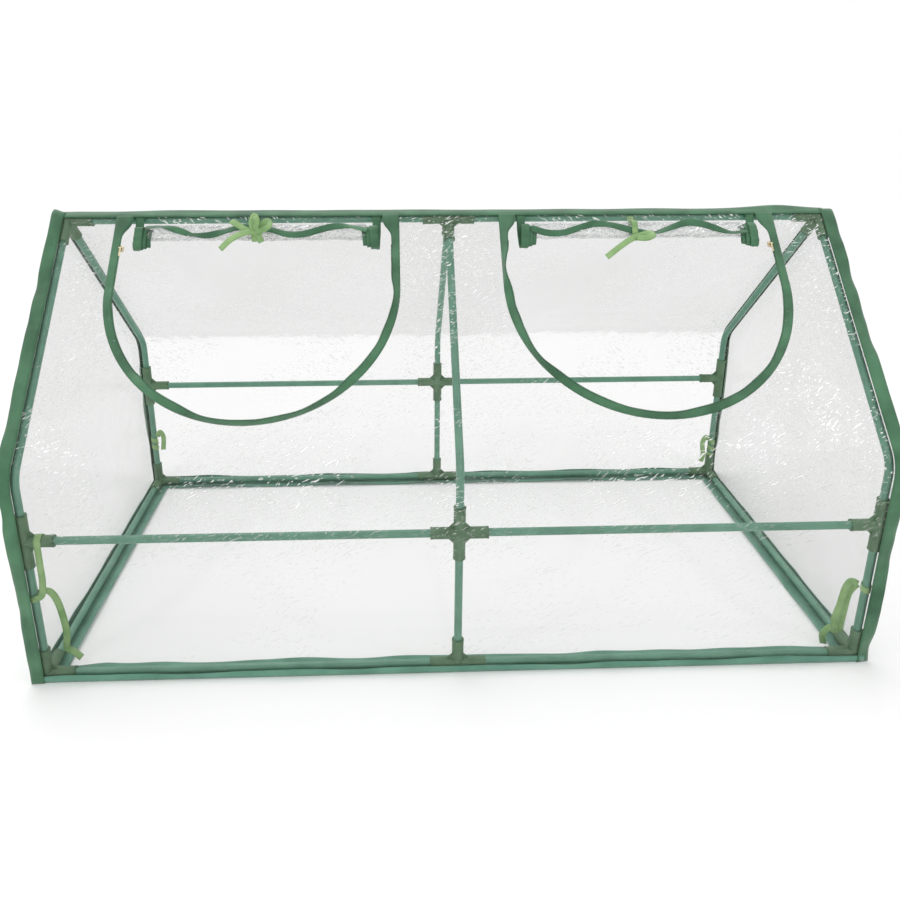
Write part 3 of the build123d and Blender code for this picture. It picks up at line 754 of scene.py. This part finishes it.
door_half = zip_radius - 0.0505
roll_middle, roll_flat, roll_radius = 0.0450, 0.0080, 0.012
coil_middle, coil_flat, coil_radius = 0.0580, 0.0160, 0.0145
pale_width, pale_thickness = 0.014, 0.0007
for side_name, side in (("left", -1), ("right", 1)):
    centre = side * door_offset
    body = f"{side_name}_door_roll"
    door_film, _ = coil_up(f"{side_name}_door_film", centre - door_half + 0.006, centre + door_half - 0.006,
                           roll_middle - roll_flat - 0.002, roll_middle, roll_flat,
                           (roll_radius, 0.0026), 6, 96, 22, loose=1.0)
    dress(door_film, clear_rolled, body, "clear_film", f"{side_name}_door_flap")

    for end_name, toward in (("left", 1), ("right", -1)):
        near_end = centre - toward * (door_half + 0.0265)
        far_end = near_end + toward * tape_width
        coil, length = coil_up(f"{side_name}_door_{end_name}_coil", min(near_end, far_end),
                               max(near_end, far_end), 0.040, coil_middle, coil_flat,
                               (coil_radius, 0.0032), 3, 5, 36, shift=toward * 0.026, loose=1.1)
        thicken(coil, 0.0009)
        stood_for = [f"{side_name}_flap_zip_tape"] if end_name == "left" else []
        dress(coil, woven, body, "green_tape", *stood_for)

    # The tape between the coils, seen through the film's outermost layers.
    keys = []
    for i in range(15):
        x = (door_half - 0.004) * (2 * i / 14 - 1)
        swing = 0.011 * sin(2 * pi * x / 0.21 + 1.1 * side)
        swing += 0.004 * noise.noise(Vector((x * 12, side, 0)))
        face = radians(130 * noise.noise(Vector((x * 11, side * 2, 4))))
        keys.append((roll_point(centre + x, roll_middle + swing, 2 * roll_radius + 0.0016),
                     facing * cos(face) + hang * sin(face)))
    loose_ribbon(f"{side_name}_door_edge_tape", keys, 0.015, 0.0008, "gathered", body, woven, "green_tape")

    # A woven ribbon round the middle of the roll, tied in a bow.
    ring_low = centre - 0.012 if side < 0 else centre - 0.019
    ring, length = coil_up(f"{side_name}_roll_ribbon", ring_low, ring_low + pale_width, 0.031, roll_middle,
                           roll_flat, (roll_radius + 0.0022, roll_radius + 0.0022), 1, 3, 30)
    thicken(ring, 0.0008)
    dress(ring, pale, body, "light_ribbon", f"{side_name}_roll_tie")
    knot_away, knot_out = (0.050, 0.0060) if side < 0 else (0.068, 0.0030)
    knot = Vector((ring_low + 0.007, knot_away, 2 * roll_radius + knot_out))

    bpy.ops.mesh.primitive_uv_sphere_add(segments=24, ring_count=14, radius=1)
    bow_knot = bpy.context.object
    bow_knot.name = f"{side_name}_bow_knot"
    for vertex in bow_knot.data.vertices:
        lump = 1 + 0.18 * noise.noise(vertex.co * 2.3 + Vector((side, 0, 0)))
        vertex.co = roll_point(knot.x + 0.0072 * vertex.co.x * lump, knot.y + 0.0078 * vertex.co.y * lump,
                               knot.z + 0.0045 * vertex.co.z * lump)
    bpy.ops.object.shade_smooth()
    dress(bow_knot, pale, body, "light_ribbon")

    if side < 0:
        bows = (
            ("loop", ((0.000, 0.000, 0.001), (0.016, -0.014, 0.008), (0.031, -0.023, 0.007),
                      (0.036, -0.010, 0.014), (0.020, 0.000, 0.012), (0.002, 0.002, 0.004)), 0.2),
            ("high_loop", ((0.000, 0.000, 0.002), (-0.004, -0.018, 0.012), (0.002, -0.033, 0.015),
                           (0.008, -0.020, 0.020), (0.004, -0.002, 0.006)), 0.3),
            ("upper_tail", ((0.000, 0.000, 0.001), (-0.020, -0.004, 0.006), (-0.038, -0.016, 0.008),
                            (-0.052, -0.024, 0.006)), 0.5),
            ("lower_tail", ((0.000, 0.000, 0.002), (-0.022, 0.006, 0.010), (-0.050, 0.020, 0.008),
                            (-0.074, 0.042, 0.004)), 0.2),
            ("short_tail", ((0.000, 0.000, 0.001), (0.010, 0.010, 0.006), (0.018, 0.026, 0.004)), 0.7),
        )
    else:
        bows = (
            ("loop", ((0.000, 0.000, 0.001), (0.016, -0.004, 0.007), (0.032, -0.008, 0.006),
                      (0.037, 0.000, 0.013), (0.022, 0.006, 0.013), (0.002, 0.003, 0.005)), 0.2),
            ("lower_tail", ((0.000, 0.000, 0.002), (-0.018, 0.010, 0.009), (-0.044, 0.028, 0.007),
                            (-0.070, 0.048, 0.003)), 0.3),
        )
    for bow_name, places, turn in bows:
        keys = []
        for i, (x, away, out) in enumerate(places):
            face = turn * sin(1.9 * i + side)
            keys.append((roll_point(knot.x + x, knot.y + away, knot.z + out),
                         facing * cos(face) + hang * sin(face)))
        loose_ribbon(f"{side_name}_bow_{bow_name}", keys, pale_width, pale_thickness, "hung", body, pale,
                     "light_ribbon")

# ---------------------------------------------------------------- zip sliders and pulls
# Small die-cast metal parts, plated a pale gold. The slider rides on the zip, and its pull hangs
# from a pin on the slider.
plated, tree, shader, at = new_finish("zip_metal")
worn = add_node(tree, "TexNoise", [("Scale", 260.0), ("Detail", 4.0)], [("Vector", at.outputs["Object"])])
tone = two_tone(tree, worn.outputs["Fac"], (0.62, 0.50, 0.30), (0.80, 0.72, 0.52))
tree.links.new(tone, shader.inputs["Base Color"])
shader.inputs["Metallic"].default_value = 0.85
dull = add_node(tree, "MapRange", [("To Min", 0.22), ("To Max", 0.45)], [("Value", worn.outputs["Fac"])])
tree.links.new(dull.outputs["Result"], shader.inputs["Roughness"])
tree.links.new(bump(tree, worn.outputs["Fac"], 0.1, 0.0003), shader.inputs["Normal"])
paint([f"{s}_{n}" for s in ("left", "right") for n in ("slider", "pull_tab")], plated)

# ---------------------------------------------------------------- ribbons inside the cover
# Lengths of the same pale ribbon are sewn inside the corners and tied round the uprights, to hold
# the cover down on its frame.
upright_low, upright_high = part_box("front_left_upright")
post_y, post_x = half_depth, -(upright_low.x + upright_high.x) / 2


def ring_keys(centre, radius, tilt, turns, drop):
    """Keys round an upright tube, winding down it."""
    return [(centre + Vector((radius * cos(a), radius * sin(a), tilt * sin(a) - drop * a / (2 * pi * turns))),
             Vector((cos(a), sin(a), 0))) for a in (pi * i / 6 for i in range(12 * turns + 1))]


for name, centre, tilt, turns, drop in (
    ("front_left_tie_ring", Vector((-post_x, -post_y, 0.207)), 0.004, 1, 0.0),
    ("front_right_tie_ring", Vector((post_x, -post_y, 0.182)), 0.003, 1, 0.0),
    ("rear_right_tie_ring", Vector((post_x, post_y, 0.140)), 0.002, 3, 0.070),
    ("rear_left_tie_ring", Vector((-post_x, post_y, 0.172)), -0.002, 2, 0.045),
):
    replaced = ["frame_ties"] if name == "front_left_tie_ring" else []
    loose_ribbon(name, ring_keys(centre, 0.0100, tilt, turns, drop), pale_width, pale_thickness, "folded",
                 "greenhouse", pale, "light_ribbon", *replaced)

hanging = {
    "front_left_rail_tie": [
        ((-0.874, -0.4455, 0.206), (0.2, -1, 0)), ((-0.860, -0.4450, 0.214), (0.1, -1, 0)),
        ((-0.8535, -0.4450, 0.245), (0, -1, 0)), ((-0.8515, -0.4470, 0.290), (0, -1, 0)),
        ((-0.8500, -0.4486, 0.336), (0, -1, 0)), ((-0.8500, -0.4440, 0.3470), (0, -0.7, 0.7)),
        ((-0.8500, -0.4350, 0.3505), (0, 0, 1)), ((-0.8500, -0.4250, 0.3465), (0, 0.7, 0.7)),
        ((-0.8500, -0.4208, 0.334), (0, 1, 0))],
    "front_left_corner_tie": [
        ((-0.870, -0.424, 0.204), (0.2, -0.3, 0.9)), ((-0.861, -0.417, 0.207), (0.3, -0.4, 0.9)),
        ((-0.850, -0.412, 0.188), (0.6, -0.7, 0.4)), ((-0.843, -0.409, 0.150), (0.5, -0.8, 0.2)),
        ((-0.840, -0.407, 0.095), (0.4, -0.9, 0.1)), ((-0.846, -0.404, 0.052), (0.2, -0.9, 0.3)),
        ((-0.836, -0.400, 0.040), (0.2, -0.6, 0.8)), ((-0.820, -0.400, 0.022), (0.3, -0.6, 0.7))],
    "front_right_corner_tie": [
        ((0.868, -0.425, 0.184), (-0.3, -0.4, 0.8)), ((0.857, -0.418, 0.187), (-0.4, -0.5, 0.8)),
        ((0.850, -0.413, 0.165), (-0.6, -0.7, 0.2)), ((0.846, -0.411, 0.120), (-0.6, -0.8, 0)),
        ((0.841, -0.409, 0.080), (-0.5, -0.9, 0)), ((0.849, -0.407, 0.050), (-0.3, -0.8, 0.4)),
        ((0.836, -0.404, 0.056), (-0.3, -0.6, 0.7)), ((0.825, -0.402, 0.036), (-0.7, -0.7, 0.2)),
        ((0.830, -0.403, 0.012), (-0.6, -0.7, 0.2))],
    "front_right_second_end": [
        ((0.868, -0.4215, 0.181), (-0.5, -0.8, 0)), ((0.860, -0.4145, 0.155), (-0.9, -0.3, 0)),
        ((0.857, -0.4125, 0.100), (-0.9, -0.4, 0)), ((0.856, -0.4105, 0.052), (-0.6, -0.7, 0.2))],
    "rear_right_tail": [
        ((0.869, 0.429, 0.128), (-0.4, -0.9, 0)), ((0.855, 0.420, 0.142), (-0.2, -0.8, 0.5)),
        ((0.843, 0.414, 0.124), (-0.5, -0.8, 0)), ((0.848, 0.412, 0.084), (-0.4, -0.9, 0)),
        ((0.842, 0.410, 0.062), (-0.4, -0.9, 0))],
    "rear_left_tail": [
        ((-0.869, 0.429, 0.168), (0.4, -0.9, 0)), ((-0.857, 0.421, 0.188), (0.2, -0.8, 0.5)),
        ((-0.846, 0.415, 0.172), (0.5, -0.8, 0)), ((-0.850, 0.413, 0.132), (0.4, -0.9, 0))],
}
for name, places in hanging.items():
    keys = [(Vector(place), Vector(face)) for place, face in places]
    loose_ribbon(name, keys, pale_width, pale_thickness, "hung", "greenhouse", pale, "light_ribbon")
